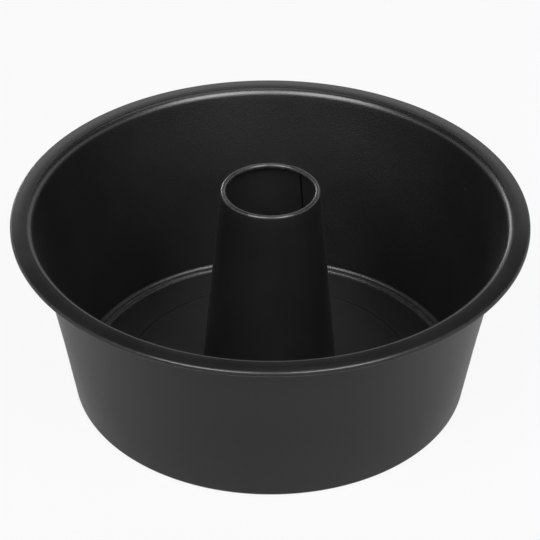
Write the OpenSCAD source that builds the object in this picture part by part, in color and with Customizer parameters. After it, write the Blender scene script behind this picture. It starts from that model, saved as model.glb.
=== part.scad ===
// Two-piece angel food cake pan, in millimetres.
// A drawn sheet-steel shell with a flared wall and a rolled rim carries a loose insert:
// a stamped base plate with a tapered centre tube clinched into it. The insert lies on the
// shell's ledge and lifts straight out. The origin is the middle of the face that the pan
// stands on, and +Z points up through the tube.

/* [Shell] */
// Diameter over the rolled rim
rim_d = 275.2; // [264:0.2:300]
// Inside diameter of the mouth, where the wall would meet the top of the flange
mouth_d = 251.8; // [240:0.2:256]
// Inside diameter of the bottom, where the wall would meet the ledge
floor_d = 211; // [190:1:226]
// Height from the table to the top of the flange
shell_h = 105; // [70:0.2:140]
// Thickness of the shell's sheet
shell_t = 0.6; // [0.4:0.1:0.9]
// How far the wall's half height is drawn in from a straight line
wall_hollow = 1.2; // [0.4:0.1:4]
// Bend radius of the wall at half height
wall_bend = 1200; // [300:50:2000]
// Inside bend radius between the wall and the ledge
base_bend = 2.4; // [1:0.1:4]
// Inside bend radius between the wall and the flange
mouth_bend = 3.3; // [1:0.1:4]
// Width of the ledge that carries the insert
ledge_w = 8.5; // [7:0.5:14]

/* [Rolled rim] */
// Height of the rolled edge
lip_h = 3.4; // [2.6:0.1:6]
// Inside bend radius of the rolled edge
lip_bend = 0.5; // [0.4:0.1:1.6]
// Width of the strip that is turned back under the flange
hem_w = 3.2; // [2.4:0.1:5]
// Width of the outer part of the flange, which falls towards the rolled edge
crown_w = 5.4; // [3:0.1:6]
// How far that part falls
crown_drop = 0.5; // [0.1:0.05:0.6]
// Inside bend radius where it starts to fall
crown_bend = 55; // [20:5:100]

/* [Base plate] */
// Thickness of the plate's sheet
plate_t = 0.6; // [0.4:0.1:0.9]
// Gap from the plate's edge to the corner between the shell's wall and ledge
plate_gap = 2.6; // [1.6:0.1:4]
// Width of the flat rim round the plate
plate_rim_w = 2; // [1.4:0.1:4]
// Height of that rim above the plate's floor
plate_rim_h = 1.2; // [0.6:0.1:2]
// Inside bend radius at both ends of the step up to the rim
step_bend = 0.8; // [0.3:0.1:1.5]
// Diameter of the raised middle of the plate
panel_d = 158; // [120:1:170]
// Height of the raised middle above the floor round it
panel_h = 0.5; // [0.3:0.1:0.8]
// Width of the slope round the raised middle
panel_slope_w = 1.6; // [0.8:0.1:3]
// Inside bend radius at both ends of that slope
panel_bend = 2; // [0.5:0.1:3]

/* [Centre tube] */
// Thickness of the tube's sheet
tube_t = 0.5; // [0.4:0.1:0.7]
// Height of the tube's top above the table
tube_h = 121.4; // [90:0.2:150]
// Outside diameter of the tube at its top
tube_top_d = 52.4; // [40:0.2:64]
// Outside diameter of the tube where it stands on the plate
tube_base_d = 74; // [66:0.5:90]
// Thickness of the edge that is curled in round the top
curl_d = 2.5; // [2:0.1:4]
// Width of the overlap where the two edges of the tube's sheet are joined
lap_w = 6.5; // [4:0.5:10]
// Direction of the sheet's inner edge, turned from +X towards +Y
lap_at = 50.5; // [0:0.5:300]

/* [Clinched joint] */
// Width of the shoulder that the tube stands on
shoulder_w = 1.2; // [0.9:0.1:3]
// Inside bend radius of that shoulder
shoulder_bend = 0.2; // [0.1:0.05:0.4]
// Width of the tube's foot, turned out under the plate
foot_w = 3.4; // [2:0.2:6]
// Gap between the tube's neck and the hole in the plate
neck_gap = 0.15; // [0.05:0.05:0.3]
// Gap round the free end of the curled edge
curl_gap = 0.2; // [0.1:0.05:0.4]

/* [Hidden] */
$fn = 180;

// Greatest angle in degrees that one facet of a bend turns through
bend_step = 8;
// Share of a straight run that a bend may use up, where the run has a bend at each end
shared_run = 0.49;
// The same share where the run's other end is the sheet's free edge
free_run = 0.98;

// Heights of the faces that rest on each other
ledge_z = shell_t;
floor_z = ledge_z + plate_t;
plate_rim_z = floor_z + plate_rim_h;
panel_z = floor_z + panel_h;
panel_under_z = panel_z - plate_t;

// Radii of the shell and the base plate
rim_r = rim_d / 2;
mouth_r = mouth_d / 2;
floor_r = floor_d / 2;
ledge_r = floor_r - ledge_w;
waist_r = (mouth_r + floor_r) / 2 - wall_hollow;
waist_z = (shell_h + ledge_z) / 2;
plate_r = floor_r - plate_gap;
step_top_r = plate_r - plate_rim_w;
step_foot_r = step_top_r - plate_rim_h;
panel_top_r = (panel_d - panel_slope_w) / 2;
panel_foot_r = (panel_d + panel_slope_w) / 2;

// Radii of the tube and of its clinched joint
tube_top_r = tube_top_d / 2;
tube_base_r = tube_base_d / 2;
neck_r = tube_base_r - shoulder_w;
hole_r = neck_r + neck_gap;
foot_r = neck_r + foot_w;
curl_bend = curl_d / 2 - tube_t;
curl_z = tube_h - curl_d;
curl_in_r = tube_top_r - curl_d;
curl_end_r = tube_top_r - tube_t - curl_gap;
lap_angle = lap_w / tube_top_r * 180 / PI;

// Vector helpers in the plane of a profile, where x is the radius and y the height
function unit(v) = v / norm(v);
function left_of(v) = [-v.y, v.x];
function turned(v, angle) = [v.x * cos(angle) - v.y * sin(angle), v.x * sin(angle) + v.y * cos(angle)];
function turn_at(a, b, c) = atan2(cross(b - a, c - b), (b - a) * (c - b));

// The paths below run along the face of a sheet that lies to the left of the way they go.
// Each corner is [radius, height, inside bend radius], and the two ends have no bend.
function spot(path, i) = [path[i].x, path[i].y];
function is_end(path, i) = i == 0 || i == len(path) - 1;

// Corner i moved straight through the sheet to a given depth under the path
function sunk(path, i, depth) =
    let(
        last = len(path) - 1,
        n1 = left_of(unit(spot(path, max(i, 1)) - spot(path, max(i, 1) - 1))),
        n2 = left_of(unit(spot(path, min(i, last - 1) + 1) - spot(path, min(i, last - 1))))
    )
    spot(path, i) - depth * (n1 + n2) / (1 + n1 * n2);

// Arc that rounds the corner b between a and c, kept within a share of each run
function rounded(a, b, c, radius, share_in, share_out) =
    let(
        turn = turn_at(a, b, c),
        slope = tan(abs(turn) / 2),
        reach = min(radius * slope, share_in * norm(b - a), share_out * norm(c - b)),
        start = b - reach * unit(b - a),
        centre = start + sign(turn) * reach / slope * left_of(unit(b - a)),
        steps = max(2, ceil(abs(turn) / bend_step))
    )
    reach > 0 ? [for (i = [0:steps]) centre + turned(start - centre, turn * i / steps)] : [b];

// Bend radius at a given depth: the inside radius on the side that the sheet turns to,
// and as much more as the sheet that lies between on the other side
function radius_at(path, i, t, depth) =
    path[i][2] + (turn_at(spot(path, i - 1), spot(path, i), spot(path, i + 1)) > 0 ? depth : t - depth);

// Outline of the sheet at a given depth under the path, with its bends rounded
function face(path, t, depth) = [
    for (i = [0:len(path) - 1])
        each is_end(path, i)
            ? [sunk(path, i, depth)]
            : rounded(
                sunk(path, i - 1, depth), sunk(path, i, depth), sunk(path, i + 1, depth),
                radius_at(path, i, t, depth),
                is_end(path, i - 1) ? free_run : shared_run,
                is_end(path, i + 1) ? free_run : shared_run
            )
];
function reversed(points) = [for (i = [len(points) - 1:-1:0]) points[i]];

// Sheet of thickness t, bent along a path and turned round the pan's axis
module spun_sheet(path, t) {
    rotate_extrude()
        polygon(concat(face(path, t, 0), reversed(face(path, t, t))));
}

// From the ledge's free edge up the inside of the wall, over the flange and round the lip
module pan_shell() {
    color([0.15, 0.15, 0.16])
        spun_sheet([
            [ledge_r, ledge_z],
            [floor_r, ledge_z, base_bend],
            [waist_r, waist_z, wall_bend],
            [mouth_r, shell_h, mouth_bend],
            [rim_r - crown_w, shell_h, crown_bend],
            [rim_r, shell_h - crown_drop, lip_bend],
            [rim_r, shell_h - lip_h, lip_bend],
            [rim_r - hem_w, shell_h - lip_h]
        ], shell_t);
}

// From the hole over the raised middle and the floor to the plate's stepped rim
module base_plate() {
    color([0.19, 0.19, 0.2])
        spun_sheet([
            [hole_r, panel_z],
            [panel_top_r, panel_z, panel_bend],
            [panel_foot_r, floor_z, panel_bend],
            [step_foot_r, floor_z, step_bend],
            [step_top_r, plate_rim_z, step_bend],
            [plate_r, plate_rim_z]
        ], plate_t);
}

// Second layer of sheet inside the tube, where one edge of it laps under the other
module tube_lap() {
    top = [tube_top_r, tube_h];
    base = [tube_base_r, panel_z];
    down = unit(base - top);
    inward = -left_of(down);
    run_top = (curl_d + curl_gap) / -down.y;
    run_end = norm(base - top) - 2 * tube_t - shoulder_w;
    rotate([0, 0, lap_at])
        rotate_extrude(angle = lap_angle)
            polygon([
                top + run_top * down + tube_t / 2 * inward,
                top + run_top * down + 2 * tube_t * inward,
                top + run_end * down + 2 * tube_t * inward,
                top + run_end * down + tube_t / 2 * inward
            ]);
}

// From the free end of the curl over the top, down the outside, in to the neck, through the
// hole and out again under the plate
module centre_tube() {
    color([0.13, 0.13, 0.14])
        union() {
            spun_sheet([
                [curl_end_r, curl_z],
                [curl_in_r, curl_z, curl_bend],
                [curl_in_r, tube_h, curl_bend],
                [tube_top_r, tube_h, curl_bend],
                [tube_base_r, panel_z, shoulder_bend],
                [neck_r, panel_z, 0],
                [neck_r, panel_under_z, 0],
                [foot_r, panel_under_z]
            ], tube_t);
            tube_lap();
        }
}

pan_shell();
base_plate();
centre_tube();
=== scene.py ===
"""Looks of a two-piece angel food cake pan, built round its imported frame.

Every piece is a sheet of steel bent along a profile and carried round the pan's axis. The
shell, the base plate and the centre tube are made again here as fine surfaces with rounded
edges, the small faults of a pressed sheet and a dark non-stick coat. Sizes are in metres.
"""

import logging
import math
from dataclasses import dataclass
from enum import Enum

import bpy
import numpy as np
from mathutils import Matrix, Vector


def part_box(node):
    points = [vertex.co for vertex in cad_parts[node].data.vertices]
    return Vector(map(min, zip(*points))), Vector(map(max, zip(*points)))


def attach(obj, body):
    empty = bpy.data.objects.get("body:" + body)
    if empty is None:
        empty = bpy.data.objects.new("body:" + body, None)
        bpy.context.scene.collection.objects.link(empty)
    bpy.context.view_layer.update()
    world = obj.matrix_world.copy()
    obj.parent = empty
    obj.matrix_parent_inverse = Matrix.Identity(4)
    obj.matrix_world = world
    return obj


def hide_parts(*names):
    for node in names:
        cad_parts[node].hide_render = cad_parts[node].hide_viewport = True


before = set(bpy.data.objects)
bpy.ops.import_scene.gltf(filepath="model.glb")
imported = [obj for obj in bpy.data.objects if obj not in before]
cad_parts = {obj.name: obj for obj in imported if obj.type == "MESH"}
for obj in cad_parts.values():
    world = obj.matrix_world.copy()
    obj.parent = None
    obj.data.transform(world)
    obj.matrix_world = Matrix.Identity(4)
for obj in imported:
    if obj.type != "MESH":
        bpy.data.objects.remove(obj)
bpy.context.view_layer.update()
MM = 0.001
LOG = logging.getLogger("cake_pan")

# Share of a straight run that the bends at its two ends may use up together
WHOLE_RUN = 0.98
# Bend radius that counts as fully sharp
SHARP_BEND = 0.5 * MM
# Waves of a pressed sheet: how many go round, their share of the height and their phase
WAVES = ((2, 0.5, 0.6), (3, 0.35, 2.1), (7, 0.15, 0.0))
# Range that most of a noise pattern's values lie in
NOISE_RANGE = (0.3, 0.7)


class Ray(Enum):
    """Kinds of ray that are shown the bright studio rather than its plain light."""

    CAMERA = "Is Camera Ray"
    GLOSSY = "Is Glossy Ray"
    TRANSMISSION = "Is Transmission Ray"


class Paint(Enum):
    """Values painted on the points of a piece, which its coat reads."""

    # Sharp bends, worn smoother and painted lighter: partly wear, partly a painted highlight
    RUBBED_AND_SHEEN = "rubbed_and_sheen"
    INSIDE = "inside"
    SEAM = "seam"


def unit(vector: np.ndarray) -> np.ndarray:
    """The vector at length 1."""
    return vector / np.linalg.norm(vector)


def left_of(vector: np.ndarray) -> np.ndarray:
    """The vector turned a quarter turn to the left."""
    return np.array([-vector[1], vector[0]])


def turn_between(into: np.ndarray, out: np.ndarray) -> float:
    """Signed angle from one heading to the next, positive to the left."""
    return math.atan2(into[0] * out[1] - into[1] * out[0], float(into @ out))


def eased(value: np.ndarray) -> np.ndarray:
    """Clamps to 0..1 and eases both ends: three squares less two cubes."""
    value = np.clip(value, 0, 1)
    return value * value * (3 - 2 * value)


@dataclass(frozen=True)
class Corner:
    """A corner of a bent sheet's path.

    Args:
        radius: distance from the axis.
        height: height above the table.
        bend: inside bend radius, 0 for a free end.
        claim: share of the run to the next corner that this bend may use.
    """

    radius: float
    height: float
    bend: float = 0.0
    claim: float = 0.49

    def spot(self) -> np.ndarray:
        """The corner as a point of the profile plane."""
        return np.array([self.radius, self.height])


@dataclass(frozen=True)
class Section:
    """A closed outline of a sheet's cross-section.

    Args:
        points: the outline, one row each of radius and height.
        inward: unit direction through the sheet, from its left face to its right, at each point.
        on_left: 1 at points of the left face, 0 at those of the right face.
        sharp: how sharply the outline turns at each point.
        tip: points on each rounded free edge, an odd number.
    """

    points: np.ndarray
    inward: np.ndarray
    on_left: np.ndarray
    sharp: np.ndarray
    tip: int


@dataclass(frozen=True)
class SheetProfile:
    """Cross-section of a bent sheet, given by the corners of one of its faces.

    The corners lie on the face to the left of the way the path goes, and the sheet's other
    face lies one thickness to the right.

    Args:
        corners: the path's corners, its free ends first and last.
        thickness: thickness of the sheet.
        bend_steps: least number of steps on each bend.
        bend_turn: turn of one step on a bend that needs more of them.
        run_step: longest step between points on a straight run.
        tip: points that round each free edge.
    """

    corners: tuple[Corner, ...]
    thickness: float
    bend_steps: int = 12
    bend_turn: float = math.radians(6)
    run_step: float = 4 * MM
    tip: int = 5

    def _sunk(self, depth: float) -> list[np.ndarray]:
        """Corners moved through the sheet.

        A corner moves against the sum of its two runs' normals, by the depth over one plus
        their product, which keeps each run at that depth.

        Args:
            depth: distance below the path's face.

        Returns:
            The moved corners, in order.
        """
        spots = [corner.spot() for corner in self.corners]
        normals = [left_of(unit(b - a)) for a, b in zip(spots, spots[1:])]
        normals = [normals[0], *normals, normals[-1]]
        return [
            spot - depth * (n1 + n2) / (1 + n1 @ n2)
            for spot, n1, n2 in zip(spots, normals, normals[1:])
        ]

    def face(self, depth: float) -> np.ndarray:
        """Points along the sheet at one depth, with each corner rounded by an arc.

        An arc starts where its tangent length, the radius times the tangent of half the turn,
        leaves the run into the corner, and turns about the centre to the side of the bend.

        Args:
            depth: distance below the path's face, from 0 to the thickness.

        Returns:
            An array of points, one row each of radius and height.
        """
        spots = self._sunk(depth)
        last = len(spots) - 1
        points = [spots[0][None]]
        for i in range(1, last):
            run_in, run_out = spots[i] - spots[i - 1], spots[i + 1] - spots[i]
            into, out = unit(run_in), unit(run_out)
            turn = turn_between(into, out)
            radius = self.corners[i].bend + (depth if turn > 0 else self.thickness - depth)
            slope = math.tan(abs(turn) / 2)
            share_in = WHOLE_RUN - (0 if i == 1 else self.corners[i - 1].claim)
            share_out = WHOLE_RUN if i == last - 1 else self.corners[i].claim
            reach = min(
                radius * slope,
                share_in * float(np.linalg.norm(run_in)),
                share_out * float(np.linalg.norm(run_out)),
            )
            start = spots[i] - reach * into
            centre = start + math.copysign(reach / slope, turn) * left_of(into)
            steps = max(self.bend_steps, int(abs(turn) / self.bend_turn))
            angles = np.linspace(0, turn, steps + 1)[:, None]
            arm = start - centre
            points.append(centre + np.cos(angles) * arm + np.sin(angles) * left_of(arm))
        points.append(spots[last][None])
        return np.concatenate(points)

    def faces(self) -> tuple[np.ndarray, np.ndarray]:
        """Both faces, point i of one straight across the sheet from point i of the other.

        A long step is cut into equal shares, the same on both faces.

        Returns:
            The left face and the right face.
        """
        left, right = self.face(0.0), self.face(self.thickness)
        gaps = np.linalg.norm(np.diff(left, axis=0), axis=1)
        counts = np.maximum(1, np.ceil(gaps / self.run_step).astype(int))
        fine = np.concatenate(
            [[0.0], *[i + np.arange(1, n + 1) / n for i, n in enumerate(counts)]]
        )
        index = np.arange(len(left))
        return tuple(
            np.column_stack([np.interp(fine, index, side[:, k]) for k in (0, 1)])
            for side in (left, right)
        )

    def section(self) -> Section:
        """The closed outline, its free edges rounded to half circles.

        The faces stop half a thickness short of the free edges, and each edge bulges between
        them: half the thickness times cosine along the sheet and sine across it.

        Returns:
            The left face, the last edge, the right face backwards and the first edge.
        """
        left, right = self.faces()
        half = self.thickness / 2
        across = (right - left) / np.linalg.norm(right - left, axis=1)[:, None]
        for end, near in ((0, 1), (-1, -2)):
            back = unit(left[near] - left[end])
            left[end] += half * back
            right[end] += half * back
        swing = np.linspace(-90, 90, self.tip + 2)[1:-1, None] * math.pi / 180
        bulge, side = half * np.cos(swing), half * np.sin(swing)
        middles = (left + right) / 2
        last_edge = middles[-1] + bulge * unit(left[-1] - left[-2]) + side * across[-1]
        first_edge = middles[0] + bulge * unit(left[0] - left[1]) - side * across[0]
        points = np.concatenate([left, last_edge, right[::-1], first_edge])
        inward = np.concatenate(
            [
                across,
                np.repeat(across[-1:], self.tip, 0),
                across[::-1],
                np.repeat(across[:1], self.tip, 0),
            ]
        )
        on_left = np.zeros(len(points))
        on_left[: len(left)] = 1
        return Section(points, inward, on_left, sharpness(points), self.tip)


def sharpness(outline: np.ndarray) -> np.ndarray:
    """How sharply a closed outline turns at each point, 1 for a fully sharp bend.

    The turn is the sine of the angle between the steps on both sides, over their mean length.

    Args:
        outline: the points.

    Returns:
        One value a point, from 0 to 1.
    """
    before = outline - np.roll(outline, 1, axis=0)
    after = np.roll(outline, -1, axis=0) - outline
    size_before = np.linalg.norm(before, axis=1)
    size_after = np.linalg.norm(after, axis=1)
    cross = before[:, 0] * after[:, 1] - before[:, 1] * after[:, 0]
    turn = np.abs(cross) / np.maximum(size_before * size_after, 1e-15)
    return np.clip(SHARP_BEND * 2 * turn / (size_before + size_after), 0, 1)


def carried(section: Section, angles: np.ndarray, sink: np.ndarray) -> np.ndarray:
    """Carries a closed outline round the axis.

    A point is the outline's radius and height, moved by the sink at that angle through the
    sheet, then laid out as radius times cosine and sine.

    Args:
        section: the outline.
        angles: directions round the axis.
        sink: how far the sheet lies below its own face at each angle.

    Returns:
        Points in a grid of angles by outline points by three.
    """
    moved = section.points[None] + sink[:, None, None] * section.inward[None]
    radius, height = moved[..., 0], moved[..., 1]
    return np.stack(
        [radius * np.cos(angles)[:, None], radius * np.sin(angles)[:, None], height], axis=-1
    )


def band_faces(rows: int, columns: int, closed: bool) -> np.ndarray:
    """Quads over a grid whose columns close on themselves.

    Args:
        rows: steps round the axis.
        columns: points of the outline.
        closed: whether the last row joins the first.

    Returns:
        An array of four vertex numbers a face.
    """
    row = np.arange(rows if closed else rows - 1)[:, None]
    column = np.arange(columns)[None]
    over, up = (row + 1) % rows, (column + 1) % columns
    corners = (
        row * columns + column,
        over * columns + column,
        over * columns + up,
        row * columns + up,
    )
    return np.stack(np.broadcast_arrays(*corners), axis=-1).reshape(-1, 4)


def zipped_ends(rows: int, section: Section) -> np.ndarray:
    """Quads that close both cut ends of a wrap.

    The outline is zipped up from the middle of its first edge: the point k steps on is joined
    to the point k steps back. The first and last of these quads fold to triangles.

    Args:
        rows: steps round the axis.
        section: the outline.

    Returns:
        An array of four vertex numbers a face.
    """
    count = len(section.points)
    middle = count - (section.tip + 1) // 2
    step = np.arange(count // 2 + 1)
    ahead, behind = (middle + step) % count, (middle - step) % count
    start = np.stack([ahead[:-1], ahead[1:], behind[1:], behind[:-1]], axis=-1)
    return np.concatenate([start, start[:, ::-1] + (rows - 1) * count])


def sheet_object(name: str, points: np.ndarray, quads: np.ndarray) -> bpy.types.Object:
    """Puts points and quads into a smooth mesh object at the origin, its faces outwards.

    The enclosed volume, a sixth of the sum of each triangle's triple product, tells which way
    the faces point. Quads with a doubled point become triangles.

    Args:
        name: name of the piece.
        points: vertex positions.
        quads: four vertex numbers a face.

    Returns:
        The new object, linked to the scene.
    """
    flat = points.reshape(-1, 3)
    a, b, c, d = (flat[quads[:, k]] for k in range(4))
    volume = np.sum(a * np.cross(b, c)) + np.sum(a * np.cross(c, d))
    if volume < 0:
        quads = quads[:, ::-1]
    faces = [list(dict.fromkeys(quad)) for quad in quads.tolist()]
    mesh = bpy.data.meshes.new(name)
    mesh.from_pydata(flat.tolist(), [], faces)
    mesh.polygons.foreach_set("use_smooth", np.ones(len(mesh.polygons), bool))
    mesh.update()
    piece = bpy.data.objects.new(name, mesh)
    bpy.context.scene.collection.objects.link(piece)
    return piece


def paint(piece: bpy.types.Object, kind: Paint, values: np.ndarray) -> None:
    """Stores one value a vertex, for the material to read.

    Args:
        piece: the object.
        kind: what is painted.
        values: the values, from 0 to 1.
    """
    attribute = piece.data.attributes.new(kind.value, "FLOAT", "POINT")
    attribute.data.foreach_set("value", values.astype(np.float32).ravel())


class NodePad:
    """An emptied node tree, with short calls for the nodes that the coats and the studio use."""

    def __init__(self, owner: bpy.types.Material | bpy.types.World) -> None:
        """Empties the owner's node tree.

        Args:
            owner: the material or world.
        """
        owner.use_nodes = True
        self.tree = owner.node_tree
        self.tree.nodes.clear()
        self._place: bpy.types.NodeSocket | None = None

    def add(self, kind: str, inputs: dict | None = None, **settings: object) -> bpy.types.Node:
        """Adds a node.

        Args:
            kind: the node's type name.
            inputs: values or sockets, by input name or number.
            settings: attributes of the node.

        Returns:
            The node.
        """
        node = self.tree.nodes.new(kind)
        for key, value in settings.items():
            setattr(node, key, value)
        for key, value in (inputs or {}).items():
            if isinstance(value, bpy.types.NodeSocket):
                self.tree.links.new(value, node.inputs[key])
            else:
                node.inputs[key].default_value = value
        return node

    def place(self) -> bpy.types.NodeSocket:
        """The point on the piece, in metres."""
        if self._place is None:
            self._place = self.add("ShaderNodeTexCoord").outputs["Object"]
        return self._place

    def noise(self, size: float, detail: float, roughness: float = 0.5) -> bpy.types.NodeSocket:
        """A cloudy pattern.

        Args:
            size: size of its largest clouds, in metres.
            detail: how many times it is broken up finer.
            roughness: weight of the finer clouds.

        Returns:
            Its value, about 0.5 in the middle.
        """
        inputs = {
            "Vector": self.place(),
            "Scale": 1 / size,
            "Detail": detail,
            "Roughness": roughness,
        }
        return self.add("ShaderNodeTexNoise", inputs).outputs[0]

    def dots(
        self, spacing: float, radius: float, bare: float = 0.35, core: float = 0.6
    ) -> bpy.types.NodeSocket:
        """Small round dots, at most one in each cell of a random foam.

        Args:
            spacing: mean distance between the cells.
            radius: radius of the largest dots.
            bare: share of the cells that stay empty.
            core: share of a dot's radius within which it is full.

        Returns:
            1 in the middle of a dot, fading to 0 at its radius.
        """
        inputs = {"Vector": self.place(), "Scale": 1 / spacing}
        cells = self.add("ShaderNodeTexVoronoi", inputs)
        chance = self.add("ShaderNodeSeparateColor", {0: cells.outputs["Color"]}).outputs[0]
        nothing = 1e-5
        size = self.ramp(chance, bare, 1.0, nothing, radius / spacing)
        gap = self.math("DIVIDE", cells.outputs["Distance"], size)
        return self.ramp(gap, core, 1.0, 1.0, 0.0)

    def ramp(
        self, value: bpy.types.NodeSocket, low: float, high: float, to_low: float, to_high: float
    ) -> bpy.types.NodeSocket:
        """Maps a value's range to another, smoothly and without passing its ends.

        Args:
            value: the value.
            low: where the range starts.
            high: where the range ends.
            to_low: result at the start.
            to_high: result at the end.

        Returns:
            The mapped value.
        """
        inputs = {0: value, 1: low, 2: high, 3: to_low, 4: to_high}
        return self.add("ShaderNodeMapRange", inputs, interpolation_type="SMOOTHSTEP").outputs[0]

    def spread(
        self, pattern: bpy.types.NodeSocket, to_low: float, to_high: float
    ) -> bpy.types.NodeSocket:
        """Maps a noise pattern to a range.

        Args:
            pattern: the noise.
            to_low: result where it is low.
            to_high: result where it is high.

        Returns:
            The mapped pattern.
        """
        return self.ramp(pattern, *NOISE_RANGE, to_low, to_high)

    def math(self, operation: str, a: object, b: object = 0.0) -> bpy.types.NodeSocket:
        """One sum, product or the like of two values.

        Args:
            operation: the operation's name.
            a: first value or socket.
            b: second value or socket.

        Returns:
            The result.
        """
        return self.add("ShaderNodeMath", {0: a, 1: b}, operation=operation).outputs[0]

    def between(self, share: bpy.types.NodeSocket, a: object, b: object) -> bpy.types.NodeSocket:
        """A value between two values.

        Args:
            share: how much of the second.
            a: first value or socket.
            b: second value or socket.

        Returns:
            The mixed value.
        """
        return self.add("ShaderNodeMix", {0: share, 2: a, 3: b}, data_type="FLOAT").outputs[0]

    def painted(self, kind: Paint) -> bpy.types.NodeSocket:
        """The value painted on the piece's points."""
        return self.add("ShaderNodeAttribute", attribute_name=kind.value).outputs["Fac"]


@dataclass(frozen=True)
class CoatFace:
    """How the coat comes out on one side of a sheet.

    Args:
        grey: brightness of the fresh coat.
        gloss: its roughness.
        grain: size of the dimples that the sprayed coat dries to.
        depth: depth of those dimples.
    """

    grey: float
    gloss: float
    grain: float
    depth: float


@dataclass(frozen=True)
class NonStickCoat:
    """Dark non-stick coat on pressed steel, smooth outside and grained inside.

    Args:
        name: name of the finish.
        slot: a material slot name, not used.
        outer: the coat on the outside.
        inner: the coat on the inside.
        bending: how strongly it bends light, which sets how much it mirrors.
        cloud: size of the patches where it is a little thicker or thinner.
        scuff_and_sheen: size of the scuffs on rubbed edges, which are painted lighter, partly as
            wear and partly as a painted highlight.
        dust: brightness of the specks of dust on it.
        speck: radius of the largest specks.
        speck_spacing: distance between them.
        rubbed_gloss: share of its roughness that is left on edges rubbed smooth.
        rubbed_grain: share of its dimples' depth that is left there.
        seam_gloss: share of its roughness that is left in the tube's seam.
    """

    name: str
    slot: str
    outer: CoatFace
    inner: CoatFace
    bending: float = 1.5
    cloud: float = 38 * MM
    scuff_and_sheen: float = 3 * MM
    dust: float = 0.12
    speck: float = 0.3 * MM
    speck_spacing: float = 9 * MM
    rubbed_gloss: float = 0.5
    rubbed_grain: float = 0.1
    seam_gloss: float = 0.15

    def material(self) -> bpy.types.Material:
        """Builds the coat's material.

        Returns:
            A material whose colour, roughness and bump are patterns on the piece.
        """
        material = bpy.data.materials.new(self.name)
        pad = NodePad(material)
        inside = pad.painted(Paint.INSIDE)
        rubbed_and_sheen = pad.painted(Paint.RUBBED_AND_SHEEN)
        seam = pad.painted(Paint.SEAM)
        cloud = pad.noise(self.cloud, 3.0)
        grain_out = pad.noise(self.outer.grain, 1.5, 0.45)
        grain_in = pad.noise(self.inner.grain, 2.0, 0.55)

        grey = pad.between(inside, self.outer.grey, self.inner.grey)
        grey = pad.math("MULTIPLY", grey, pad.spread(cloud, 0.85, 1.2))
        grey = pad.math("MULTIPLY", grey, pad.spread(grain_in, 0.85, 1.15))
        # Rubbed bends are painted lighter: partly wear, partly a painted highlight on the edges
        scuffs_and_sheen = pad.spread(pad.noise(self.scuff_and_sheen, 3.0, 0.6), 0.02, 0.045)
        grey = pad.math("ADD", grey, pad.math("MULTIPLY", rubbed_and_sheen, scuffs_and_sheen))
        specks = pad.math("MULTIPLY", pad.dots(self.speck_spacing, self.speck), self.dust)
        grey = pad.math("ADD", grey, specks)
        colour = pad.add("ShaderNodeCombineColor", {0: grey, 1: grey, 2: grey}).outputs[0]

        gloss = pad.between(inside, self.outer.gloss, self.inner.gloss)
        gloss = pad.math("ADD", gloss, pad.spread(cloud, -0.008, 0.012))
        gloss = pad.math("MULTIPLY", gloss, pad.ramp(rubbed_and_sheen, 0.0, 1.0, 1.0, self.rubbed_gloss))
        gloss = pad.math("MULTIPLY", gloss, pad.ramp(seam, 0.0, 1.0, 1.0, self.seam_gloss))

        height = pad.between(
            inside,
            pad.math("MULTIPLY", grain_out, self.outer.depth),
            pad.math("MULTIPLY", grain_in, self.inner.depth),
        )
        height = pad.math("MULTIPLY", height, pad.ramp(rubbed_and_sheen, 0.0, 1.0, 1.0, self.rubbed_grain))
        bump = pad.add("ShaderNodeBump", {"Height": height, "Strength": 1.0, "Distance": 1.0})
        shader = pad.add(
            "ShaderNodeBsdfPrincipled",
            {
                "Base Color": colour,
                "Roughness": gloss,
                "Normal": bump.outputs[0],
                "IOR": self.bending,
            },
        )
        pad.add("ShaderNodeOutputMaterial", {"Surface": shader.outputs[0]})
        return material


def ring_piece(
    name: str, section: Section, around: int, wave: float, handling_and_sheen: float
) -> bpy.types.Object:
    """A sheet turned into a full ring, with the slight waves of a pressed sheet.

    At each angle the sheet sinks by the height of the waves times the sum of their cosines,
    each times its share.

    Args:
        name: name of the piece.
        section: its cross-section.
        around: steps round the axis.
        wave: height of the waves.
        handling_and_sheen: how much its bends are rubbed and painted lighter, partly wear and
            partly a painted highlight, as a multiple of how sharp they are.

    Returns:
        The piece.
    """
    angles = np.arange(around) * 2 * math.pi / around
    sink = wave * sum(share * np.cos(count * angles + phase) for count, share, phase in WAVES)
    points = carried(section, angles, sink)
    piece = sheet_object(name, points, band_faces(around, len(section.points), True))
    # Mask of sharp bends that the coat paints lighter: partly wear, partly a painted highlight
    rubbed_and_sheen = np.clip(handling_and_sheen * section.sharp, 0, 1)
    paint(piece, Paint.RUBBED_AND_SHEEN, np.repeat(rubbed_and_sheen[None], around, 0))
    return piece


def dress(piece: bpy.types.Object, coat: NonStickCoat, body: str, node: str) -> bpy.types.Object:
    """Gives a piece its coat and its place in the frame.

    Args:
        piece: the object.
        coat: its finish.
        body: the body that it rides on.
        node: the CAD node that it stands for.

    Returns:
        The piece.
    """
    piece.data.materials.append(coat.material())
    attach(piece, body)
    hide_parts(node)
    count = len(piece.data.polygons)
    LOG.info("%s stands for %s on body %s: %d faces", piece.name, node, body, count)
    return piece


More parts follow.
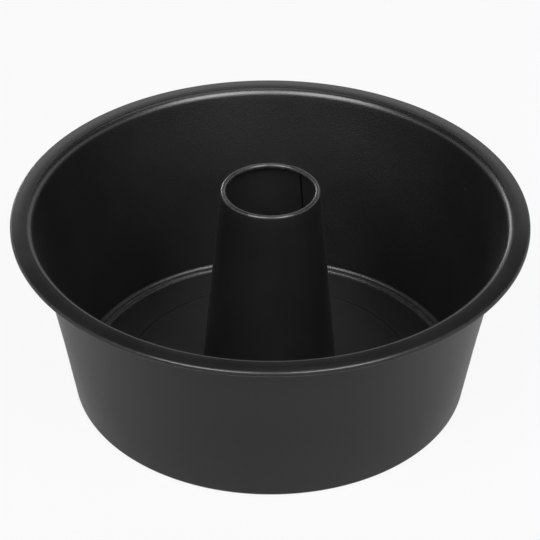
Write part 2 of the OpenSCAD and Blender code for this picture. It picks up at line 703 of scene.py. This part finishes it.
@dataclass
class PanShell:
    """The drawn shell: ledge, flared wall, flange and rolled lip.

    Args:
        coat: finish of the shell.
        body: the body that it rides on.
        node: the CAD node that it stands for.
        sheet: thickness of its sheet.
        mouth_radius: where the wall would meet the flange.
        floor_radius: where the wall would meet the ledge.
        wall_hollow: how far the wall's half height is drawn in from a straight line.
        wall_bend: bend radius of the wall at half height.
        base_bend: bend radius between wall and ledge.
        mouth_bend: bend radius between wall and flange.
        bend_claim: share that this bend may use of the run to the crease.
        crease_turn: turn of the slight crease where the flange starts.
        crease_run: distance from that bend's corner to the crease.
        crease_bend: bend radius of the crease.
        crown_width: width of the outer part of the flange, which falls towards the lip.
        crown_drop: how far that part falls.
        crown_bend: bend radius where it starts to fall.
        coat_edge: radius where the inside coat ends.
        coat_fade: width over which it ends.
        grain_edge: radius where its full grain ends.
        grain_fade: width over which that ends.
        grain_on_bend: share of the grain between those two edges.
        ledge_width: width of the ledge that carries the insert.
        lip_height: height of the rolled edge.
        lip_bend: bend radius of the rolled edge.
        hem_width: width of the strip that is turned back under the flange.
        handling_and_sheen: how much its bends are rubbed and painted lighter, partly as wear and
            partly as a painted highlight.
        around: steps round the axis.
        wave: height of the waves in its sheet.
    """

    coat: NonStickCoat
    body: str = "shell"
    node: str = "pan_shell"
    sheet: float = 0.6 * MM
    mouth_radius: float = 125.9 * MM
    floor_radius: float = 105.5 * MM
    wall_hollow: float = 1.2 * MM
    wall_bend: float = 1200 * MM
    base_bend: float = 2.4 * MM
    mouth_bend: float = 3.8 * MM
    bend_claim: float = 0.93
    crease_turn: float = math.radians(12)
    crease_run: float = 3.04 * MM
    crease_bend: float = 0.6 * MM
    crown_width: float = 5.4 * MM
    crown_drop: float = 0.5 * MM
    crown_bend: float = 55 * MM
    coat_edge: float = 128.6 * MM
    coat_fade: float = 0.5 * MM
    grain_edge: float = 126.2 * MM
    grain_fade: float = 1.0 * MM
    grain_on_bend: float = 0.2
    ledge_width: float = 8.5 * MM
    lip_height: float = 3.4 * MM
    lip_bend: float = 0.5 * MM
    hem_width: float = 3.2 * MM
    handling_and_sheen: float = 1.0
    around: int = 384
    wave: float = 0.03 * MM

    def profile(self) -> SheetProfile:
        """The shell's cross-section, its rim and height taken from the frame.

        The flange starts with a slight crease, and a wider bend leads from there down into the
        wall. The two meet on a short slope that rises by the crease's turn.

        Returns:
            The profile, from the ledge's free edge to the end of the hem.
        """
        low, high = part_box(self.node)
        rim = (high.x - low.x) / 2
        height = high.z
        waist = (self.mouth_radius + self.floor_radius) / 2 - self.wall_hollow
        middle = (height + self.sheet) / 2
        drop = self.crease_run * math.sin(self.crease_turn)
        bend = self.mouth_radius - drop * (self.mouth_radius - waist) / (height - middle)
        crease = bend + self.crease_run * math.cos(self.crease_turn)
        corners = (
            Corner(self.floor_radius - self.ledge_width, self.sheet),
            Corner(self.floor_radius, self.sheet, self.base_bend),
            Corner(waist, middle, self.wall_bend),
            Corner(bend, height - drop, self.mouth_bend, self.bend_claim),
            Corner(crease, height, self.crease_bend),
            Corner(rim - self.crown_width, height, self.crown_bend),
            Corner(rim, height - self.crown_drop, self.lip_bend),
            Corner(rim, height - self.lip_height, self.lip_bend),
            Corner(rim - self.hem_width, height - self.lip_height),
        )
        return SheetProfile(corners, self.sheet)

    def build(self) -> bpy.types.Object:
        """Makes the shell and puts it in place of the CAD node.

        The grained inside coat reaches up the wall, is thinner on the bend and ends at the
        flange.

        Returns:
            The shell.
        """
        section = self.profile().section()
        piece = ring_piece("shell_sheet", section, self.around, self.wave, self.handling_and_sheen)
        on_bend = eased((self.coat_edge - section.points[:, 0]) / self.coat_fade)
        on_wall = eased((self.grain_edge - section.points[:, 0]) / self.grain_fade)
        reach = self.grain_on_bend * on_bend + (1 - self.grain_on_bend) * on_wall
        paint(piece, Paint.INSIDE, np.repeat((section.on_left * reach)[None], self.around, 0))
        return dress(piece, self.coat, self.body, self.node)


@dataclass
class BasePlate:
    """The loose plate: hole, raised middle, floor and stepped rim.

    Args:
        coat: finish of the plate.
        body: the body that it rides on.
        node: the CAD node that it stands for.
        sheet: thickness of its sheet.
        floor_height: height of the plate's floor above the table.
        hole_radius: radius of the hole for the tube.
        panel_radius: radius to the middle of the slope round the raised middle.
        panel_height: height of the raised middle above the floor.
        panel_slope: width of that slope.
        panel_bend: bend radius at both its ends.
        rim_width: width of the flat rim.
        rim_height: height of the rim above the floor.
        step_bend: bend radius at both ends of the step up to the rim.
        handling_and_sheen: how much its bends are rubbed and painted lighter, partly as wear and
            partly as a painted highlight.
        around: steps round the axis.
        wave: height of the waves in its sheet.
    """

    coat: NonStickCoat
    body: str = "insert"
    node: str = "base_plate"
    sheet: float = 0.6 * MM
    floor_height: float = 1.2 * MM
    hole_radius: float = 35.95 * MM
    panel_radius: float = 79 * MM
    panel_height: float = 0.5 * MM
    panel_slope: float = 3.0 * MM
    panel_bend: float = 8.0 * MM
    rim_width: float = 2.0 * MM
    rim_height: float = 1.2 * MM
    step_bend: float = 1.6 * MM
    handling_and_sheen: float = 2.2
    around: int = 420
    wave: float = 0.02 * MM

    def profile(self) -> SheetProfile:
        """The plate's cross-section, its edge taken from the frame.

        Returns:
            The profile, from the hole to the plate's edge.
        """
        low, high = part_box(self.node)
        edge = (high.x - low.x) / 2
        panel = self.floor_height + self.panel_height
        rim = self.floor_height + self.rim_height
        step_top = edge - self.rim_width
        corners = (
            Corner(self.hole_radius, panel),
            Corner(self.panel_radius - self.panel_slope / 2, panel, self.panel_bend),
            Corner(self.panel_radius + self.panel_slope / 2, self.floor_height, self.panel_bend),
            Corner(step_top - self.rim_height, self.floor_height, self.step_bend),
            Corner(step_top, rim, self.step_bend),
            Corner(edge, rim),
        )
        return SheetProfile(corners, self.sheet)

    def build(self) -> bpy.types.Object:
        """Makes the plate and puts it in place of the CAD node.

        Returns:
            The plate.
        """
        section = self.profile().section()
        piece = ring_piece("plate_sheet", section, self.around, self.wave, self.handling_and_sheen)
        paint(piece, Paint.INSIDE, np.repeat(section.on_left[None], self.around, 0))
        return dress(piece, self.coat, self.body, self.node)


@dataclass
class CentreTube:
    """The tapered tube: one sheet wrapped round, its edges lapped, its top curled in.

    Args:
        coat: finish of the tube.
        body: the body that it rides on.
        node: the CAD node that it stands for.
        sheet: thickness of its sheet.
        top_radius: radius of the tube at its top.
        base_radius: radius where it stands on the plate.
        seat_height: height of the plate's raised middle, which it stands on.
        plate_sheet: thickness of the plate that it clasps.
        curl: thickness of the edge that is curled in round the top.
        curl_gap: gap round the free end of that edge.
        shoulder: width of the shoulder that it stands on.
        shoulder_bend: bend radius of the shoulder.
        neck_bend: bend radius at both ends of the neck in the plate's hole.
        foot: width of the foot, turned out under the plate.
        lap_width: width of the overlap where the sheet's edges are joined.
        lap_at: direction of the sheet's inner edge.
        jog: turn over which the sheet rises from the lap to its own face.
        lap_gap: gap between the lapped edges.
        handling_and_sheen: how much its bends are rubbed and painted lighter, partly as wear and
            partly as a painted highlight.
        seam_half: half the turn that the dark seam takes up.
        seam_lead: how far its middle lies before the sheet's outer edge, in half widths.
        seam_gain: how much of it is fully dark, 1 for its middle alone.
        around: steps round the axis.
    """

    coat: NonStickCoat
    body: str = "insert"
    node: str = "centre_tube"
    sheet: float = 0.5 * MM
    top_radius: float = 26.35 * MM
    base_radius: float = 37 * MM
    seat_height: float = 1.7 * MM
    plate_sheet: float = 0.6 * MM
    curl: float = 2.9 * MM
    curl_gap: float = 0.2 * MM
    shoulder: float = 1.2 * MM
    shoulder_bend: float = 0.2 * MM
    neck_bend: float = 0.02 * MM
    foot: float = 3.4 * MM
    lap_width: float = 6.5 * MM
    lap_at: float = math.radians(53)
    jog: float = math.radians(5)
    lap_gap: float = 0.02 * MM
    handling_and_sheen: float = 2.6
    seam_half: float = math.radians(1.6)
    seam_lead: float = 0.7
    seam_gain: float = 1.3
    around: int = 360

    def profile(self) -> SheetProfile:
        """The tube's cross-section, its height taken from the frame.

        Returns:
            The profile, from the free end of the curl to the edge of the foot.
        """
        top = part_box(self.node)[1].z
        neck = self.base_radius - self.shoulder
        bend = self.curl / 2 - self.sheet
        under = self.seat_height - self.plate_sheet
        corners = (
            Corner(self.top_radius - self.sheet - self.curl_gap, top - self.curl),
            Corner(self.top_radius - self.curl, top - self.curl, bend),
            Corner(self.top_radius - self.curl, top, bend),
            Corner(self.top_radius, top, bend),
            Corner(self.base_radius, self.seat_height, self.shoulder_bend),
            Corner(neck, self.seat_height, self.neck_bend),
            Corner(neck, under, self.neck_bend),
            Corner(neck + self.foot, under),
        )
        return SheetProfile(corners, self.sheet)

    def build(self) -> bpy.types.Object:
        """Wraps the tube and puts it in place of the CAD node.

        The wrap starts one sheet deeper, stays there for the lap's width and then rises to
        its own face in an eased step, so that the far edge lies on top of the near one. The
        coat is thin and dark in the seam beside the near edge.

        Returns:
            The tube.
        """
        section = self.profile().section()
        lap = self.lap_width / self.top_radius
        angles = self.lap_at + np.linspace(0, 2 * math.pi + lap, self.around + 1)
        rise = eased((angles - self.lap_at - lap) / self.jog)
        points = carried(section, angles, (self.sheet + self.lap_gap) * (1 - rise))
        rows, columns = points.shape[:2]
        quads = np.concatenate([band_faces(rows, columns, False), zipped_ends(rows, section)])
        piece = sheet_object("tube_sheet", points, quads)
        # Mask of sharp bends that the coat paints lighter: partly wear, partly a painted
        # highlight
        rubbed_and_sheen = np.clip(self.handling_and_sheen * section.sharp, 0, 1)
        paint(piece, Paint.RUBBED_AND_SHEEN, np.repeat(rubbed_and_sheen[None], rows, 0))
        paint(piece, Paint.INSIDE, np.repeat(section.on_left[None], rows, 0))
        off = np.abs(angles - self.lap_at - 2 * math.pi + self.seam_lead * self.seam_half)
        seam = eased(self.seam_gain * (1 - off / self.seam_half))
        paint(piece, Paint.SEAM, seam[:, None] * (1 - section.on_left)[None])
        return dress(piece, self.coat, self.body, self.node)


@dataclass
class Camera:
    """The photo's camera, found from the ellipses of the rim, the floor and the tube.

    Args:
        lens: focal length, in millimetres.
        film: width of the film, in millimetres.
        near: nearest distance that it sees.
        back: distance in front of the pan's axis.
        up: height above the table.
        pitch: angle below level, in degrees.
        roll: turn about the line of sight, in degrees.
    """

    lens: float = 193.4
    film: float = 36.0
    near: float = 0.05
    back: float = 1.2712
    up: float = 0.9681
    pitch: float = 35.26
    roll: float = 0.303

    def place(self) -> bpy.types.Object:
        """Adds the camera and makes it the scene's own.

        Returns:
            The camera.
        """
        data = bpy.data.cameras.new("photo_camera")
        data.lens = self.lens
        data.sensor_width = self.film
        data.clip_start = self.near
        camera = bpy.data.objects.new("photo_camera", data)
        bpy.context.scene.collection.objects.link(camera)
        level = Matrix.Rotation(math.radians(90 - self.pitch), 4, "X")
        roll = Matrix.Rotation(math.radians(self.roll), 4, "Z")
        camera.matrix_world = Matrix.Translation((0, -self.back, self.up)) @ level @ roll
        bpy.context.scene.camera = camera
        return camera


@dataclass(frozen=True)
class Softbox:
    """A soft studio lamp that faces the pan.

    Args:
        name: name of the lamp.
        way: direction from the pan to the lamp, of any length.
        distance: how far away it hangs.
        width: its width.
        height: its height.
        glow: its brightness, where 1 is white.
        shine: brightness that only its reflections have on top.
        aim_height: height on the pan's axis that it faces.
    """

    name: str
    way: tuple[float, float, float]
    distance: float
    width: float
    height: float
    glow: float
    shine: float = 0.0
    aim_height: float = 0.08

    def _lamp(self, name: str, glow: float) -> bpy.types.Object:
        """Adds one round lamp. Its power is its brightness times pi times its area.

        Args:
            name: name of the lamp.
            glow: its brightness.

        Returns:
            The lamp, which the camera doesn't see.
        """
        data = bpy.data.lights.new(name, "AREA")
        data.shape = "ELLIPSE"
        data.size, data.size_y = self.width, self.height
        data.energy = glow * math.pi * self.width * self.height * math.pi / 4
        lamp = bpy.data.objects.new(name, data)
        bpy.context.scene.collection.objects.link(lamp)
        aim = Vector((0, 0, self.aim_height))
        offset = Vector(self.way).normalized() * self.distance
        lamp.location = aim + offset
        lamp.rotation_euler = (-offset).to_track_quat("-Z", "Y").to_euler()
        lamp.visible_camera = False
        return lamp

    def hang(self) -> None:
        """Hangs the lamp, and in the same place one that only gloss sees."""
        self._lamp(self.name, self.glow)
        if self.shine > 0:
            self._lamp(self.name + "_shine", self.shine).visible_diffuse = False


@dataclass
class Studio:
    """Pale floor, soft lamps and a white backdrop below a dim ceiling.

    Args:
        lamps: the softboxes.
        floor_size: width of the floor.
        floor_grey: colour of the floor.
        floor_cloud: size of the patches where that is a little lighter.
        floor_change: how much lighter they are.
        sky: strength of the soft light from all round.
        horizon_glow: brightness of the backdrop's foot in reflections.
        backdrop_glow: brightness of the backdrop in reflections.
        backdrop_foot: height, as the sine of its elevation, where it is fully bright.
        backdrop_top: height where it starts to fade.
        ceiling_foot: height where the dim ceiling has taken over.
        lifted: share of pure white in the floor where the camera sees it.
        lifted_gloss: the same share where a reflection sees it.
    """

    lamps: tuple[Softbox, ...] = (
        Softbox("front_left_box", (-0.352, -0.553, 0.755), 3.2, 2.05, 2.05, 5.6, 36.0),
        Softbox("front_right_box", (0.352, -0.553, 0.755), 3.2, 2.05, 2.05, 5.6, 36.0),
        Softbox("overhead_box", (0.1, 0.274, 0.956), 3.0, 1.98, 1.98, 1.5, 2.2),
        Softbox("left_kicker", (-0.41, 0.85, 0.275), 2.8, 0.5, 0.5, 1.5, 75.0),
    )
    floor_size: float = 8.0
    floor_grey: float = 0.48
    floor_cloud: float = 0.4
    floor_change: float = 0.02
    sky: float = 0.12
    horizon_glow: float = 0.05
    backdrop_glow: float = 0.95
    backdrop_foot: float = 0.35
    backdrop_top: float = 0.505
    ceiling_foot: float = 0.56
    lifted: float = 0.92
    lifted_gloss: float = 0.05

    @staticmethod
    def _for_rays(pad: NodePad, plain: object, shares: dict[Ray, object]) -> bpy.types.NodeSocket:
        """A value that kinds of ray see instead of the plain one.

        Args:
            pad: the node tree.
            plain: what plain light sees.
            shares: what each kind of ray sees, the last one first where two apply.

        Returns:
            The chosen value.
        """
        rays = pad.add("ShaderNodeLightPath")
        value = plain
        for kind, seen in shares.items():
            value = pad.between(rays.outputs[kind.value], value, seen)
        return value

    def backdrop(self) -> None:
        """Lights the world softly, and shows a white backdrop below a dim ceiling."""
        world = bpy.data.worlds.new("studio")
        pad = NodePad(world)
        way = pad.add("ShaderNodeTexCoord").outputs["Generated"]
        height = pad.add("ShaderNodeSeparateXYZ", {0: way}).outputs["Z"]
        rising = pad.ramp(height, 0.0, self.backdrop_foot, self.horizon_glow, self.backdrop_glow)
        fading = pad.ramp(height, self.backdrop_top, self.ceiling_foot, 1.0, 0.0)
        seen = pad.math("MULTIPLY", rising, fading)
        shares = {Ray.GLOSSY: seen, Ray.TRANSMISSION: 1.0, Ray.CAMERA: 1.0}
        strength = self._for_rays(pad, self.sky, shares)
        shine = pad.add("ShaderNodeBackground", {"Color": (1, 1, 1, 1), "Strength": strength})
        pad.add("ShaderNodeOutputWorld", {"Surface": shine.outputs[0]})
        bpy.context.scene.world = world

    def floor(self) -> bpy.types.Object:
        """A pale floor that lifts towards white where it is seen and keeps the pan's shadow.

        Returns:
            The floor.
        """
        half = self.floor_size / 2
        corners = np.array([[-1, -1, 0], [1, -1, 0], [1, 1, 0], [-1, 1, 0]], float) * half
        mesh = bpy.data.meshes.new("studio_floor")
        mesh.from_pydata(corners.tolist(), [], [[0, 1, 2, 3]])
        floor = bpy.data.objects.new("studio_floor", mesh)
        bpy.context.scene.collection.objects.link(floor)
        material = bpy.data.materials.new("pale_floor")
        pad = NodePad(material)
        light = self.floor_grey + self.floor_change
        tone = pad.ramp(pad.noise(self.floor_cloud, 2.0), 0.2, 0.8, self.floor_grey, light)
        grey = pad.add("ShaderNodeCombineColor", {0: tone, 1: tone, 2: tone}).outputs[0]
        matt = pad.add("ShaderNodeBsdfDiffuse", {"Color": grey}).outputs[0]
        white = pad.add("ShaderNodeEmission", {"Color": (1, 1, 1, 1), "Strength": 1.0}).outputs[0]
        shares = {
            Ray.GLOSSY: self.lifted_gloss,
            Ray.TRANSMISSION: self.lifted,
            Ray.CAMERA: self.lifted,
        }
        share = self._for_rays(pad, 0.0, shares)
        mixed = pad.add("ShaderNodeMixShader", {0: share, 1: matt, 2: white}).outputs[0]
        under = pad.add("ShaderNodeNewGeometry").outputs["Backfacing"]
        clear = pad.add("ShaderNodeBsdfTransparent").outputs[0]
        sided = pad.add("ShaderNodeMixShader", {0: under, 1: mixed, 2: clear}).outputs[0]
        pad.add("ShaderNodeOutputMaterial", {"Surface": sided})
        mesh.materials.append(material)
        return floor

    def set_up(self) -> None:
        """Builds the floor, the backdrop and the lamps."""
        self.floor()
        self.backdrop()
        for lamp in self.lamps:
            lamp.hang()
        bpy.context.scene.view_settings.view_transform = "Standard"
        LOG.info("studio: %d lamps", len(self.lamps))


SMOOTH = CoatFace(0.009, 0.19, 1.1 * MM, 0.01 * MM)
GRAINED = CoatFace(0.001, 0.33, 0.7 * MM, 0.16 * MM)
PLATE_FLOOR = CoatFace(0.001, 0.35, 0.8 * MM, 0.05 * MM)
TUBE_OUTSIDE = CoatFace(0.004, 0.34, 1.1 * MM, 0.02 * MM)
TUBE_INSIDE = CoatFace(0.008, 0.4, 1.1 * MM, 0.03 * MM)
SHELL_COAT = NonStickCoat("shell_coat", "shell_coat", SMOOTH, GRAINED)
PLATE_COAT = NonStickCoat("plate_coat", "plate_coat", SMOOTH, PLATE_FLOOR, bending=1.37)
TUBE_COAT = NonStickCoat("tube_coat", "tube_coat", TUBE_INSIDE, TUBE_OUTSIDE)


def main() -> None:
    """Builds the pan piece by piece and sets up the studio."""
    logging.basicConfig(level=logging.INFO, format="%(name)s: %(message)s")
    Camera().place()
    PanShell(SHELL_COAT).build()
    BasePlate(PLATE_COAT).build()
    CentreTube(TUBE_COAT).build()
    Studio().set_up()


if __name__ == "__main__":
    main()
